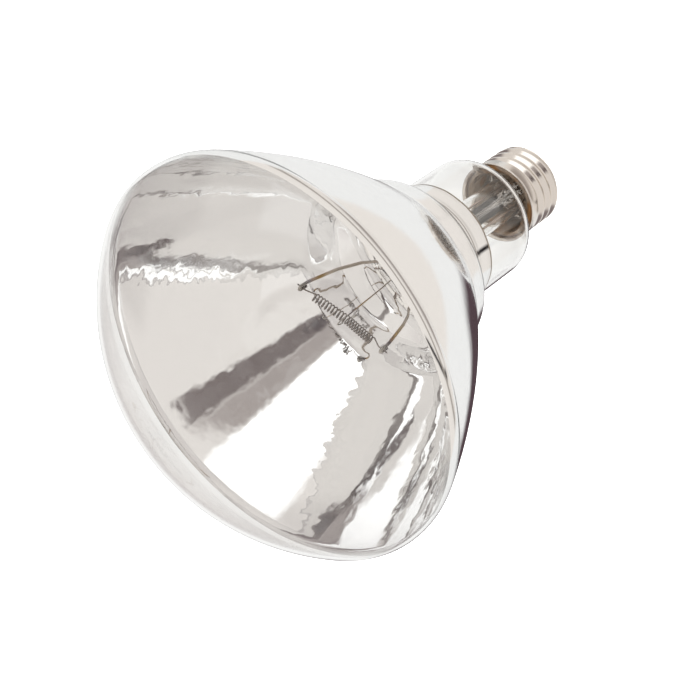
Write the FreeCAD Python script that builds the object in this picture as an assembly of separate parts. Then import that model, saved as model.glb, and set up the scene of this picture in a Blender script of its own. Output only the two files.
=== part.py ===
import FreeCAD, Part
import math
import os

# Clear-faced infrared reflector lamp with a screw cap, in millimetres.
# The origin is the tip of the centre contact. +Z runs up the lamp's axis, from the
# cap to the domed face, and +X points at the lead that feeds the shell.
# Outlines are walked from the mouth of the glass up to the top of the dome as
# stations: a point (radius, 0, height) and the outward normal at that point.

V = FreeCAD.Vector

# Glass bulb: the corners of its outer outline, the rounding of each, and the wall
WALL = 1.0
MOUTH_RADIUS = 10.6
MOUTH_HEIGHT = 12.5
SHOULDER_FOOT = 25.0
SHOULDER_FOOT_ROUND = 4.0
NECK_RADIUS = 19.9
NECK_FOOT = 35.0
NECK_FOOT_ROUND = 5.0
NECK_TOP = 65.5
NECK_TOP_ROUND = 8.0
BEAD_RADIUS = 28.0
BEAD_HEIGHT = 70.6
BEAD_ROUND = 5.0
GROOVE_RADIUS = 32.0
GROOVE_HEIGHT = 80.8
GROOVE_ROUND = 8.0
BOWL_ROUND = 206.0
RIM_RADIUS = 62.5
RIM_HEIGHT = 134.2
RIM_ROUND = 8.0
DOME_RADIUS = 75.0

# Curves are walked in chords that stay this close to the true arc, round the axis too
CHORD_SAG = 0.2
BULB_SIDES = 4 * math.ceil(math.pi / math.acos(1 - CHORD_SAG / RIM_RADIUS) / 4)
SMALL_SIDES = 12
# A small quarter round is drawn with one point halfway along it
HALFWAY = math.sqrt(0.5)
# A corner's rounding takes up at most this share of the sides beside it
SIDE_SHARE = 0.48
# Points closer than this are one point, and its power of ten rounds them alike
SAME_POINT = 1e-5
SAME_DIGITS = 5
# A wire's section is carried from a new direction once it leans this far along the path
ALONG_LIMIT = 0.95

# Mirror film on the inside of the bowl, drawn thick enough to be a solid
FILM = 0.15
FILM_FOOT = 55.0
FILM_TOP = 135.4

# Stem: flared tube sealed to the mouth, flattened into a press that grips the wires
FLARE_RIM = 1.0
FLARE_HEIGHT = 7.0
FLARE_WAIST_HEIGHT = 2.3
FLARE_WAIST_RADIUS = 7.8
STEM_RADIUS = 6.6
STEM_WALL = 1.1
STEM_TOP = 46.0
STEM_SIDES = 28
PRESS_FOOT = 52.0
PRESS_TOP = 62.0
PRESS_LENGTH = 15.0
PRESS_THICKNESS = 5.6
EXHAUST_RADIUS = 2.6
EXHAUST_BORE = 1.6
EXHAUST_TIP = 9.5
EXHAUST_WELD = 0.6
CROWN_SHARE = 0.6

# Wires
LEAD_SPACING = 8.4
OUTER_LEAD_RADIUS = 0.35
OUTER_LEAD_DROP = 1.05
OUTER_LEAD_BEND = 0.7
CONTACT_LEAD_BEND = 2.1
SEAL_WIRE_RADIUS = 0.4
INNER_LEAD_RADIUS = 0.5
SUPPORT_RADIUS = 0.2
WIRE_GRIP = 3.0
WIRE_SIDES = 6
BEND_STEPS = 4

# Filament and the points that hold it
FILAMENT_HEIGHT = 104.3
CLAMP_A_REACH = 14.0
CLAMP_B_REACH = 17.0
LEAD_A_BEND_REACH = 12.4
LEAD_A_BEND_HEIGHT = 90.0
LEAD_B_BEND_REACH = 13.4
LEAD_B_BEND_HEIGHT = 85.8
LEAD_BEND_ROUND = 12.0
CLAMP_GAP = 0.6
CLAMP_TAIL = 2.2
COIL_A_END = 9.3
COIL_KINK = -2.8
COIL_B_END = -12.9
COIL_SAG = 0.7
COIL_RADIUS = 1.25
COIL_TURNS_A = 11
COIL_TURNS_B = 11
COIL_STEPS = 8
FILAMENT_RADIUS = 0.2
FILAMENT_SIDES = 4
FILAMENT_TAIL = 1.6
HOOK_RISE = 4.4
HOOK_GAP = 0.3

# Screw cap: rolled sheet shell with a round seven-per-inch thread
SHEET = 0.35
SHELL_RIM = 24.0
SHELL_END = 5.9
LIP_RADIUS = 13.75
BAND_TOP = 22.8
BAND_FOOT = 20.2
CREST_RADIUS = 13.2
ROOT_RADIUS = 12.15
THREAD_PITCH = 25.4 / 7
THREAD_FOOT = 7.6
THREAD_FADE = 1.2
THREAD_STEPS = 6
SHELL_SIDES = 28
SHELL_MOUTH = 10.6

# Cap's insulator, centre contact, solder and cement
SEAT_GAP = 0.35
INSULATOR_TOP = 9.0
INSULATOR_DISH = 0.35
INSULATOR_EDGE = 0.7
CONTACT_MARGIN = 0.35
CONTACT_RADIUS = 4.9
CONTACT_SEAT = 1.4
CONTACT_THICKNESS = 0.5
WIRE_BORE = 0.9
SOLDER_RADIUS = 2.6
SOLDER_FLAT = 1.3
SIDE_SOLDER_RADIUS = 1.3
SIDE_SOLDER_HEIGHT = 0.9
SIDE_SOLDER_TURN = -0.1
RIM_CLEARANCE = 0.05
RIM_REACH = 12.15
CEMENT_GAP = 0.1
CEMENT_FOOT = 14.0
CEMENT_TOP = 22.4


def polar(radius, turn, height):
    """A point at a radius and a share of a full turn round the axis."""
    angle = 2 * math.pi * turn
    return V(radius * math.cos(angle), radius * math.sin(angle), height)


def turned(normal, angle):
    """A vector of the outline's plane turned towards the axis side."""
    c = math.cos(angle)
    s = math.sin(angle)
    return V(normal.x * c - normal.z * s, 0, normal.x * s + normal.z * c)


def outward(direction):
    """The outward normal of an outline that runs along a direction."""
    return V(direction.z, 0, -direction.x)


def slope(normal):
    """The angle of an outline's normal above the horizontal."""
    return math.atan2(normal.z, normal.x)


def unit(vector):
    """A copy of a vector with length one."""
    return V(vector).normalize()


def arc_stations(centre, radius, normal, turn, hollow=False):
    """Stations along an arc that starts at a normal and turns by an angle."""
    step = 2 * math.acos(1 - min(CHORD_SAG / radius, 1))
    count = max(math.ceil(abs(turn) / step), 1)
    side = -1 if hollow else 1
    normals = [turned(normal, turn * i / count) for i in range(count + 1)]
    return [(centre + n * (side * radius), n) for n in normals]


def corner_stations(before, at, after, radius):
    """Stations of the tangent arc that rounds a corner of the outline."""
    arriving = unit(at - before)
    leaving = unit(after - at)
    cross = arriving.x * leaving.z - arriving.z * leaving.x
    turn = math.atan2(cross, arriving.dot(leaving))
    bend = math.tan(abs(turn) / 2)
    room = SIDE_SHARE * min((at - before).Length, (after - at).Length)
    reach = min(radius * bend, room)
    radius = reach / bend
    start = at - arriving * reach
    hollow = turn < 0
    centre = start + outward(arriving) * (radius if hollow else -radius)
    return arc_stations(centre, radius, outward(arriving), turn, hollow)


def bulb_stations():
    """The outer outline of the glass, from its mouth to the top of the dome."""
    rim_centre = V(RIM_RADIUS - RIM_ROUND, 0, RIM_HEIGHT)
    groove = V(GROOVE_RADIUS, 0, GROOVE_HEIGHT)

    # the bowl's slow curve passes through the groove and rolls into the rim without a corner
    across = rim_centre - groove
    span = across.Length
    share = (span ** 2 + BOWL_ROUND ** 2 - (BOWL_ROUND - RIM_ROUND) ** 2) / (2 * span)
    aside = math.sqrt(BOWL_ROUND ** 2 - share ** 2)
    bowl_centre = groove + unit(across) * share - outward(unit(across)) * aside
    bowl_start = unit(groove - bowl_centre)
    bowl_end = unit(rim_centre - bowl_centre)

    corners = [
        (V(MOUTH_RADIUS, 0, MOUTH_HEIGHT), 0),
        (V(MOUTH_RADIUS, 0, SHOULDER_FOOT), SHOULDER_FOOT_ROUND),
        (V(NECK_RADIUS, 0, NECK_FOOT), NECK_FOOT_ROUND),
        (V(NECK_RADIUS, 0, NECK_TOP), NECK_TOP_ROUND),
        (V(BEAD_RADIUS, 0, BEAD_HEIGHT), BEAD_ROUND),
        (groove, GROOVE_ROUND),
        (groove + turned(bowl_start, math.pi / 2) * GROOVE_ROUND, 0),
    ]
    stations = [(corners[0][0], V(1, 0, 0))]
    for (before, _), (at, radius), (after, _) in zip(corners, corners[1:], corners[2:]):
        stations += corner_stations(before, at, after, radius)
    stations += arc_stations(bowl_centre, BOWL_ROUND, bowl_start, slope(bowl_end) - slope(bowl_start))[1:]

    # the rim rolls from the bowl into the dome, which is a sphere on the axis
    drop = math.sqrt((DOME_RADIUS - RIM_ROUND) ** 2 - rim_centre.x ** 2)
    dome_centre = V(0, 0, RIM_HEIGHT - drop)
    dome_start = unit(rim_centre - dome_centre)
    stations += arc_stations(rim_centre, RIM_ROUND, bowl_end, slope(dome_start) - slope(bowl_end))[1:]
    stations += arc_stations(dome_centre, DOME_RADIUS, dome_start, math.pi / 2 - slope(dome_start))[1:]
    return stations


def inset(stations, depth):
    """Points of the outline moved inwards by a depth, the last one on the axis."""
    points = [point - normal * depth for point, normal in stations]
    if abs(points[-1].x) < SAME_POINT:
        points[-1].x = 0
    return points


def between(points, low, high):
    """The stretch of an outline between two heights, cut exactly at both."""
    kept = []
    for a, b in zip(points, points[1:]):
        for height in (low, high):
            if (a.z - height) * (b.z - height) < 0:
                kept.append(a + (b - a) * ((height - a.z) / (b.z - a.z)))
        if low <= b.z <= high:
            kept.append(b)
    return sorted(kept, key=lambda point: point.z)


def spun(points, sides):
    """The solid that a closed outline sweeps round the axis, in even flat sides."""
    turns = [i / sides for i in range(sides)]
    return skin([[polar(p.x, turn, p.z) for p in points] for turn in turns], closed=True)


def ring_points(rows):
    """Outline points from (radius, height) pairs."""
    return [V(radius, 0, height) for radius, height in rows]


def skin(rings, closed):
    """A solid skinned over rings of points, capped at both ends unless it closes."""
    count = len(rings[0])
    corners = {}
    numbers = []
    for point in [point for ring in rings for point in ring]:
        key = tuple(round(value, SAME_DIGITS) for value in point)
        numbers.append(corners.setdefault(key, len(corners)))
    pairs = [(i, i + 1) for i in range(len(rings) - 1)]
    if closed:
        pairs.append((len(rings) - 1, 0))
    triangles = []
    for i, j in pairs:
        for k in range(count):
            m = (k + 1) % count
            triangles.append((i * count + k, j * count + k, j * count + m))
            triangles.append((i * count + k, j * count + m, i * count + m))
    if not closed:
        last = (len(rings) - 1) * count
        for k in range(1, count - 1):
            triangles.append((0, k, k + 1))
            triangles.append((last, last + k + 1, last + k))
    facets = [tuple(numbers[i] for i in triangle) for triangle in triangles]
    facets = [facet for facet in facets if len(set(facet)) == 3]
    shape = Part.Shape()
    shape.makeShapeFromMesh(([V(*key) for key in corners], facets), SAME_POINT)
    solid = Part.Solid(Part.Shell(shape.Faces))
    if solid.Volume < 0:
        solid.reverse()
    return solid.removeSplitter()


def wire(path, radius, sides=WIRE_SIDES):
    """A few-sided wire along a path, its section carried without twist."""
    rings = []
    across = None
    for i, point in enumerate(path):
        before = path[max(i - 1, 0)]
        after = path[min(i + 1, len(path) - 1)]
        along = unit(after - before)
        guess = across or V(0, 1, 0)
        if abs(guess.dot(along)) > ALONG_LIMIT:
            guess = V(1, 0, 0)
        across = unit(guess - along * guess.dot(along))
        beside = along.cross(across)
        angles = [2 * math.pi * (k + 0.5) / sides for k in range(sides)]
        rings.append([
            point + across * (radius * math.cos(a)) + beside * (radius * math.sin(a))
            for a in angles
        ])
    return skin(rings, closed=False)


def bent(points, radius):
    """A path through points whose inner corners are rounded in a few steps."""
    path = [points[0]]
    for before, at, after in zip(points, points[1:], points[2:]):
        arriving = unit(at - before)
        leaving = unit(after - at)
        turn = arriving.getAngle(leaving)
        room = SIDE_SHARE * min((at - before).Length, (after - at).Length)
        reach = min(radius * math.tan(turn / 2), room)
        start = at - arriving * reach
        end = at + leaving * reach
        for i in range(BEND_STEPS + 1):
            t = i / BEND_STEPS
            path.append(start * (1 - t) ** 2 + at * (2 * t * (1 - t)) + end * t ** 2)
    path.append(points[-1])
    return path


def glass_bulb():
    """The blown envelope, one wall thick from its mouth to the dome."""
    stations = bulb_stations()
    outer = inset(stations, 0)
    inner = inset(stations, WALL)
    return spun(outer + inner[::-1], BULB_SIDES)


def reflector_coating():
    """The mirror film that lines the bowl between its two edges."""
    stations = bulb_stations()
    back = between(inset(stations, WALL), FILM_FOOT, FILM_TOP)
    front = between(inset(stations, WALL + FILM), FILM_FOOT, FILM_TOP)
    return spun(back + front[::-1], BULB_SIDES)


def flattened(half_length, half_thickness, height):
    """A ring of the stem: round where both halves agree, else flat with round ends."""
    flat = half_length - half_thickness
    ring = []
    for i in range(STEM_SIDES):
        angle = 2 * math.pi * (i + 0.5) / STEM_SIDES
        x = math.copysign(flat, math.cos(angle)) + half_thickness * math.cos(angle)
        ring.append(V(x, half_thickness * math.sin(angle), height))
    return ring


def glass_stem(wires):
    """Flare, tube, press and exhaust tube melted into one, with the wires' channels."""
    rim_foot = MOUTH_HEIGHT - FLARE_RIM
    flare_top = MOUTH_HEIGHT + FLARE_HEIGHT
    flare_waist = MOUTH_HEIGHT + FLARE_WAIST_HEIGHT
    bore = STEM_RADIUS - STEM_WALL
    bore_top = STEM_TOP - STEM_WALL
    seal = MOUTH_RADIUS - WALL
    press = [flattened(PRESS_LENGTH / 2, PRESS_THICKNESS / 2, z) for z in (PRESS_TOP, PRESS_FOOT)]
    outside = [
        (STEM_RADIUS, STEM_TOP),
        (STEM_RADIUS, flare_top),
        (FLARE_WAIST_RADIUS, flare_waist),
        (seal, MOUTH_HEIGHT),
        (MOUTH_RADIUS, MOUTH_HEIGHT),
        (MOUTH_RADIUS, rim_foot),
    ]
    inside = [
        (seal, rim_foot),
        (FLARE_WAIST_RADIUS - STEM_WALL, flare_waist),
        (bore, flare_top),
        (bore, bore_top - bore / 2),
        (bore * CROWN_SHARE, bore_top),
    ]
    tube = skin(press + [flattened(r, r, z) for r, z in outside + inside], closed=False)
    shoulder = EXHAUST_TIP + EXHAUST_RADIUS
    exhaust = spun(ring_points([
        (0, EXHAUST_TIP),
        (EXHAUST_RADIUS * HALFWAY, shoulder - EXHAUST_RADIUS * HALFWAY),
        (EXHAUST_RADIUS, shoulder),
        (EXHAUST_RADIUS, bore_top + EXHAUST_WELD),
        (0, bore_top + EXHAUST_WELD),
        (0, bore_top),
        (EXHAUST_BORE, bore_top),
        (EXHAUST_BORE, shoulder),
        (0, shoulder),
    ]), SMALL_SIDES)
    return tube.fuse(exhaust).cut(wires)


def inner_lead(side, reach, bend_reach, bend_height):
    """A lead from the press to the filament, its end folded over as a clamp."""
    foot = side * LEAD_SPACING / 2
    limb = CLAMP_GAP / 2 + INNER_LEAD_RADIUS
    top = FILAMENT_HEIGHT + INNER_LEAD_RADIUS
    clamp = V(side * reach, -limb, FILAMENT_HEIGHT - CLAMP_TAIL)
    points = [
        V(foot, 0, PRESS_TOP - WIRE_GRIP),
        V(foot, 0, PRESS_TOP + WIRE_GRIP),
        V(side * bend_reach, 0, bend_height),
        clamp,
        V(side * reach, -limb, top),
        V(side * reach, 0, top + limb),
        V(side * reach, limb, top),
        V(side * reach, limb, clamp.z),
    ]
    return wire(bent(points, LEAD_BEND_ROUND), INNER_LEAD_RADIUS)


def seal_wire(side):
    """The straight sealing wire inside the press."""
    x = side * LEAD_SPACING / 2
    foot = V(x, 0, PRESS_FOOT + WIRE_GRIP)
    top = V(x, 0, PRESS_TOP - WIRE_GRIP)
    return wire([foot, top], SEAL_WIRE_RADIUS)


def outer_lead_to_shell():
    """The thin lead that leaves the stem, runs up beside the mouth and ends on the rim."""
    gap_middle = (MOUTH_RADIUS + ROOT_RADIUS - SHEET) / 2
    low = MOUTH_HEIGHT - FLARE_RIM - OUTER_LEAD_DROP
    over = SHELL_RIM + OUTER_LEAD_RADIUS + RIM_CLEARANCE
    points = [
        V(LEAD_SPACING / 2, 0, PRESS_FOOT + WIRE_GRIP),
        V(LEAD_SPACING / 2, 0, MOUTH_HEIGHT),
        polar(STEM_RADIUS, SIDE_SOLDER_TURN, low),
        polar(gap_middle, SIDE_SOLDER_TURN, low),
        polar(gap_middle, SIDE_SOLDER_TURN, CEMENT_TOP),
        polar(RIM_REACH, SIDE_SOLDER_TURN, over),
        polar(LIP_RADIUS - SHEET, SIDE_SOLDER_TURN, over),
    ]
    return wire(bent(points, OUTER_LEAD_BEND), OUTER_LEAD_RADIUS)


def outer_lead_to_contact():
    """The thin lead that runs down the stem and through the insulator to the contact."""
    points = [
        V(-LEAD_SPACING / 2, 0, PRESS_FOOT + WIRE_GRIP),
        V(-LEAD_SPACING / 2, 0, MOUTH_HEIGHT),
        V(0, 0, (CONTACT_SEAT + EXHAUST_TIP) / 2),
        V(0, 0, CONTACT_SEAT - CONTACT_THICKNESS),
    ]
    return wire(bent(points, CONTACT_LEAD_BEND), OUTER_LEAD_RADIUS)


def support_wire():
    """The thin middle support, hooked over the filament at its kink."""
    side = COIL_RADIUS + FILAMENT_RADIUS + SUPPORT_RADIUS + HOOK_GAP
    hook_top = FILAMENT_HEIGHT + HOOK_RISE
    rest = FILAMENT_HEIGHT - COIL_SAG + COIL_RADIUS + FILAMENT_RADIUS + SUPPORT_RADIUS
    points = [
        V(0, 0, PRESS_TOP - WIRE_GRIP),
        V(0, 0, PRESS_TOP + WIRE_GRIP),
        V(COIL_KINK, -side, FILAMENT_HEIGHT - COIL_RADIUS),
        V(COIL_KINK, -side, hook_top - side),
        V(COIL_KINK, -side / 2, hook_top),
        V(COIL_KINK, 0, hook_top - side),
        V(COIL_KINK, 0, rest + HOOK_GAP),
    ]
    return wire(bent(points, LEAD_BEND_ROUND), SUPPORT_RADIUS)


def coil_turns(start, end, turns):
    """Points of a helix wound round the line between two points."""
    along = unit(end - start)
    across = V(0, 1, 0)
    beside = along.cross(across)
    steps = turns * COIL_STEPS
    points = []
    for i in range(steps + 1):
        angle = 2 * math.pi * i / COIL_STEPS
        centre = start + (end - start) * (i / steps)
        arm = across * math.sin(angle) + beside * math.cos(angle)
        points.append(centre + arm * COIL_RADIUS)
    return points


def filament():
    """The coiled filament in two runs that meet at the support, with straight tails."""
    a_end = V(COIL_A_END, 0, FILAMENT_HEIGHT)
    kink = V(COIL_KINK, 0, FILAMENT_HEIGHT - COIL_SAG)
    b_end = V(COIL_B_END, 0, FILAMENT_HEIGHT)
    coil = coil_turns(a_end, kink, COIL_TURNS_A)[:-1] + coil_turns(kink, b_end, COIL_TURNS_B)
    tail_a = V(CLAMP_A_REACH + FILAMENT_TAIL, 0, FILAMENT_HEIGHT)
    tail_b = V(-CLAMP_B_REACH - FILAMENT_TAIL, 0, FILAMENT_HEIGHT)
    leg_a = V(CLAMP_A_REACH - FILAMENT_TAIL, 0, FILAMENT_HEIGHT)
    leg_b = V(-CLAMP_B_REACH + FILAMENT_TAIL, 0, FILAMENT_HEIGHT)
    path = [tail_a, leg_a] + coil + [leg_b, tail_b]
    return wire(path, FILAMENT_RADIUS, FILAMENT_SIDES)


def thread_radius(height, turn):
    """The shell's outer radius in the threaded stretch, fading into the band above."""
    middle = (CREST_RADIUS + ROOT_RADIUS) / 2
    wave = (CREST_RADIUS - ROOT_RADIUS) / 2
    phase = 2 * math.pi * (height / THREAD_PITCH - turn)
    top_fade = min((BAND_FOOT - height) / THREAD_FADE, 1)
    threaded = middle + wave * math.cos(phase)
    return threaded * top_fade + CREST_RADIUS * (1 - top_fade)


def shell_section(turn):
    """The sheet's closed section at one turn, from the lip down the outside and back."""
    steps = math.ceil((BAND_FOOT - THREAD_FOOT) / THREAD_PITCH * THREAD_STEPS)
    heights = [BAND_FOOT - (BAND_FOOT - THREAD_FOOT) * i / steps for i in range(steps + 1)]
    bore = ROOT_RADIUS - SHEET
    end = [(ROOT_RADIUS, THREAD_FOOT - SHEET), (SHELL_MOUTH, SHELL_END)]
    outside = [(LIP_RADIUS, SHELL_RIM), (CREST_RADIUS, BAND_TOP)]
    outside += [(thread_radius(height, turn), height) for height in heights]
    inside = [
        (SHELL_MOUTH, SHELL_END + SHEET),
        (bore, THREAD_FOOT),
        (bore, BAND_FOOT - THREAD_FADE),
        (CREST_RADIUS - SHEET, BAND_FOOT),
        (CREST_RADIUS - SHEET, BAND_TOP),
        (LIP_RADIUS - SHEET, SHELL_RIM),
    ]
    return [polar(r, turn, z) for r, z in outside + end + inside]


def screw_shell():
    """The threaded shell, its section carried round the axis."""
    return skin([shell_section(i / SHELL_SIDES) for i in range(SHELL_SIDES)], closed=True)


def base_insulator(lead):
    """The glass insulator that fills the shell's end and seats the contact."""
    side = ROOT_RADIUS - SHEET - SEAT_GAP
    step = SHELL_MOUTH - SEAT_GAP
    plug = spun(ring_points([
        (WIRE_BORE, CONTACT_SEAT),
        (CONTACT_RADIUS + CONTACT_MARGIN, CONTACT_SEAT),
        (step, SHELL_END),
        (step, SHELL_END + INSULATOR_EDGE),
        (side, THREAD_FOOT + SEAT_GAP),
        (side, INSULATOR_TOP),
        (WIRE_BORE, INSULATOR_TOP - INSULATOR_DISH),
    ]), SHELL_SIDES)
    return plug.cut(lead)


def centre_contact():
    """The contact disc on the insulator's end."""
    return spun(ring_points([
        (WIRE_BORE, CONTACT_SEAT - CONTACT_THICKNESS),
        (CONTACT_RADIUS - CONTACT_THICKNESS, CONTACT_SEAT - CONTACT_THICKNESS),
        (CONTACT_RADIUS, CONTACT_SEAT),
        (WIRE_BORE, CONTACT_SEAT),
    ]), SHELL_SIDES)


def contact_solder(lead):
    """The solder tip that joins the lead to the contact."""
    face = CONTACT_SEAT - CONTACT_THICKNESS
    tip = spun(ring_points([
        (0, 0),
        (SOLDER_FLAT, 0),
        (SOLDER_FLAT + (SOLDER_RADIUS - SOLDER_FLAT) * HALFWAY, face * (1 - HALFWAY)),
        (SOLDER_RADIUS, face),
        (WIRE_BORE, face),
        (WIRE_BORE, CONTACT_SEAT),
        (0, CONTACT_SEAT),
    ]), SHELL_SIDES)
    return tip.cut(lead)


def shell_solder(lead):
    """The solder drop on the shell's rim over the end of its lead."""
    drop = spun(ring_points([
        (0, 0),
        (SIDE_SOLDER_RADIUS, 0),
        (SIDE_SOLDER_RADIUS * HALFWAY, SIDE_SOLDER_HEIGHT * HALFWAY),
        (0, SIDE_SOLDER_HEIGHT),
    ]), SMALL_SIDES)
    drop.translate(polar(LIP_RADIUS - SHEET / 2, SIDE_SOLDER_TURN, SHELL_RIM))
    return drop.cut(lead)


def basing_cement(lead):
    """The cement ring between the glass mouth and the shell."""
    inside = MOUTH_RADIUS + CEMENT_GAP
    low_side = ROOT_RADIUS - SHEET - SEAT_GAP
    high_side = CREST_RADIUS - SHEET - SEAT_GAP
    ring = spun(ring_points([
        (inside, CEMENT_FOOT),
        (low_side, CEMENT_FOOT),
        (low_side, BAND_FOOT),
        (high_side, BAND_FOOT + SEAT_GAP),
        (high_side, CEMENT_TOP),
        (inside, CEMENT_TOP),
    ]), SHELL_SIDES)
    return ring.cut(lead)


def main():
    """Make every piece and write each to its own file."""
    leads = {
        "inner_lead_a": inner_lead(1, CLAMP_A_REACH, LEAD_A_BEND_REACH, LEAD_A_BEND_HEIGHT),
        "inner_lead_b": inner_lead(-1, CLAMP_B_REACH, LEAD_B_BEND_REACH, LEAD_B_BEND_HEIGHT),
        "seal_wire_a": seal_wire(1),
        "seal_wire_b": seal_wire(-1),
        "outer_lead_a": outer_lead_to_shell(),
        "outer_lead_b": outer_lead_to_contact(),
        "support_wire": support_wire(),
    }
    pieces = {
        "glass_bulb": glass_bulb(),
        "reflector_coating": reflector_coating(),
        "glass_stem": glass_stem(list(leads.values())),
        "filament": filament(),
        "basing_cement": basing_cement(leads["outer_lead_a"]),
        "screw_shell": screw_shell(),
        "base_insulator": base_insulator(leads["outer_lead_b"]),
        "centre_contact": centre_contact(),
        "contact_solder": contact_solder(leads["outer_lead_b"]),
        "shell_solder": shell_solder(leads["outer_lead_a"]),
    }
    pieces.update(leads)
    os.makedirs("parts", exist_ok=True)
    for name, shape in pieces.items():
        shape.exportStep("parts/" + name + ".step")


main()
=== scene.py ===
"""Looks of a clear-faced infrared reflector lamp: glass, mirror, filament, screw cap and studio."""

import math

import bpy
import numpy as np
from bpy.props import FloatProperty, FloatVectorProperty, IntProperty, PointerProperty, StringProperty
from bpy.types import Operator, Panel, PropertyGroup
from mathutils import Matrix, Vector


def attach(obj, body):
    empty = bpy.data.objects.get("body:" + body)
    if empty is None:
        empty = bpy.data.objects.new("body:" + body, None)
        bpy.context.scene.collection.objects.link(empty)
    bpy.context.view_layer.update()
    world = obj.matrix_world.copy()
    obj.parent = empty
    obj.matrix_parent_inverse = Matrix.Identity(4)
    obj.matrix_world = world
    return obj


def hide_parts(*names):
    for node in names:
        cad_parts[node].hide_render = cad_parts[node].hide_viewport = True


bl_info = {
    "name": "Reflector heat lamp",
    "version": (1, 0, 0),
    "blender": (4, 5, 0),
    "location": "View3D > Sidebar > Heat lamp",
    "description": "Builds a reflector heat lamp round its packed frame, with its studio",
    "category": "Object",
}

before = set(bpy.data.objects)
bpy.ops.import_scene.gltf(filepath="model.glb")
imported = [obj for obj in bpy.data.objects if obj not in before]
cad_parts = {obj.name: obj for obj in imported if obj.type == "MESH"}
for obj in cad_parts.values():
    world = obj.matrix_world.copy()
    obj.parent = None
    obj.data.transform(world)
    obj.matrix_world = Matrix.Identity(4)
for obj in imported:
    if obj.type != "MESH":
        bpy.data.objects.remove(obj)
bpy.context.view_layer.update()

MM = 0.001
# radius that a turned outline keeps at the axis, so that its ring stays a ring
POLE = 0.02 * MM
# share of a straight side that the rounding at each of its ends may take
CORNER_SHARE = 0.48
# facets of small turned forms and of the wires
SMALL_SIDES = 48
LEAD_SIDES = 16
WIRE_SIDES = 12
SUPPORT_SIDES = 10
FILAMENT_SIDES = 8
# rows over the thread, and steps of formed shapes, quarter turns and bends
THREAD_ROWS = 72
FORM_STEPS = 12
ROUND_STEPS = 8
BEND_STEPS = 10
# sine waves of the film's edges: how many in a turn, their share of the height, and their phase
EDGE_WAVES = ((3, 0.5, 1.0), (7, 0.3, 0.0), (16, 0.2, 2.0))
# the press's rounded edge as a share of its thickness, and how far its middle row is drawn in
PRESS_EDGE = 0.14
PRESS_EDGE_MIDDLE = 0.3
# the flat of the bore's vault and the depth of the exhaust tube's closed end, as shares of their radii
VAULT_FLAT = 0.3
EXHAUST_END = 0.4
EXHAUST_GAP = 5 * POLE
# rows of the shell's rolled edges, in thicknesses of its sheet: the lip inwards, the foot inwards and down
LIP_ROLL = 0.3
FOOT_ROLL = ((0.3, 1.0), (1.4, 2.2))
GLASS_IOR = 1.5
# width and depth in millimetres of the mirror's ripple, deep enough to show as wavy edges, and the share of
# it that is gone on the face that lies on the glass
MIRROR_RIPPLE = 5.5
MIRROR_RIPPLE_DEPTH = 0.085
MIRROR_EVEN = 0.9
# how far the heat tint reaches below and above the filament, in millimetres, and its colours on the way up
TINT_BELOW = 14.0
TINT_ABOVE = 2.0
HEAT_TINTS = ((0.45, "#A88A55"), (0.6, "#8F6F4E"), (0.72, "#6E6266"), (0.85, "#8C8781"))
CLAMP_TINT = "#B5B0A8"
# size in millimetres of the cement's scorched patches, noise at their edges, and size and depth of the grit
CEMENT_PATCH = 7.0
PATCH_EDGE = (0.45, 0.6)
CEMENT_GRIT = (0.6, 0.05)
# finishes of one colour: name, metallic, roughness, and the bump's grain size and depth in millimetres
PLAIN_FINISHES = {
    # the film thins out at its foot: a dull brown-grey line instead of a mirror
    "thin_film": ("Thin aluminium vapour edge", 0.5, 0.4),
    # rolled sheet with a bright plate: streaky soft highlights along the thread
    "cap": ("Nickel-plated rolled sheet", 1.0, 0.17, (1.2, 0.004)),
    # drawn and aged in the heat: dark satin grey
    "tungsten": ("Drawn tungsten", 1.0, 0.35),
    # drawn and dulled by the sealing flame: a greyed pink
    "copper": ("Drawn copper-clad wire", 1.0, 0.35),
    # moulded: black and glossy
    "insulator": ("Moulded black glass", 0.0, 0.12),
    # stamped: warm yellow satin
    "brass": ("Stamped brass", 1.0, 0.3),
    # set from the melt: grey, dull and slightly lumpy
    "solder": ("Cast tin solder", 1.0, 0.4, (0.8, 0.03)),
}
# settings of nodes that ease from one value to another, and that mix two colours
EASED = {"interpolation_type": "SMOOTHSTEP"}
COLOURS = {"data_type": "RGBA"}
# What the mirror shows of the room, as panels: name, sRGB colour, strength, left and right edge of azimuth
# from the room's turn, lower and upper edge of elevation, softness of the edges, all in degrees, and the
# slant of the lower and upper edges. A later panel stands before an earlier one
ROOM_PANELS = (
    ("far wall", "#E6E0DD", 1.0, 100, 260, -14, 90, 10, 0.0),
    ("left curtain", "#8A8183", 1.0, -150, -98, -14, 28, 5, 0.0),
    ("right curtain", "#8A8183", 1.0, 100, 150, -14, 28, 5, 0.0),
    ("white screen", "#FFFFFF", 1.6, 21, 69, 5, 36.5, 3, 0.0),
    ("bright strip", "#FFFFFF", 1.6, 12, 60, 44.8, 53.6, 1.4, 0.43),
    ("screen frame end", "#827A77", 1.0, 14, 62, 54.8, 61.5, 2, 0.5),
    ("screen frame", "#5E5554", 1.0, -9, 25, 37.5, 43.0, 1.4, 0.5),
    ("screen frame side", "#6E6463", 1.0, 23, 47, 43.2, 47.4, 1.6, 0.12),
    ("grey flag", "#716665", 1.0, -12, 3, 14, 41, 1.5, 0.0),
    ("grey flag side", "#ABA29F", 1.0, 3, 21, 16, 40, 2.5, 0.2),
    ("black card", "#4A4043", 1.0, -9, 1, 35, 40, 1.5, 0.1),
    ("stand leg", "#171216", 1.0, -76, -32, -47, -41, 2.5, 0.68),
    ("near mat", "#A39A95", 1.0, -84, 88, -79, -65, 5, 0.0),
    ("far mat", "#A0978F", 1.0, -100, 100, -53, -47, 2, 0.0),
    ("stand", "#57474C", 1.0, 171, 206, -64, -29, 4, 0.0),
)
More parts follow.
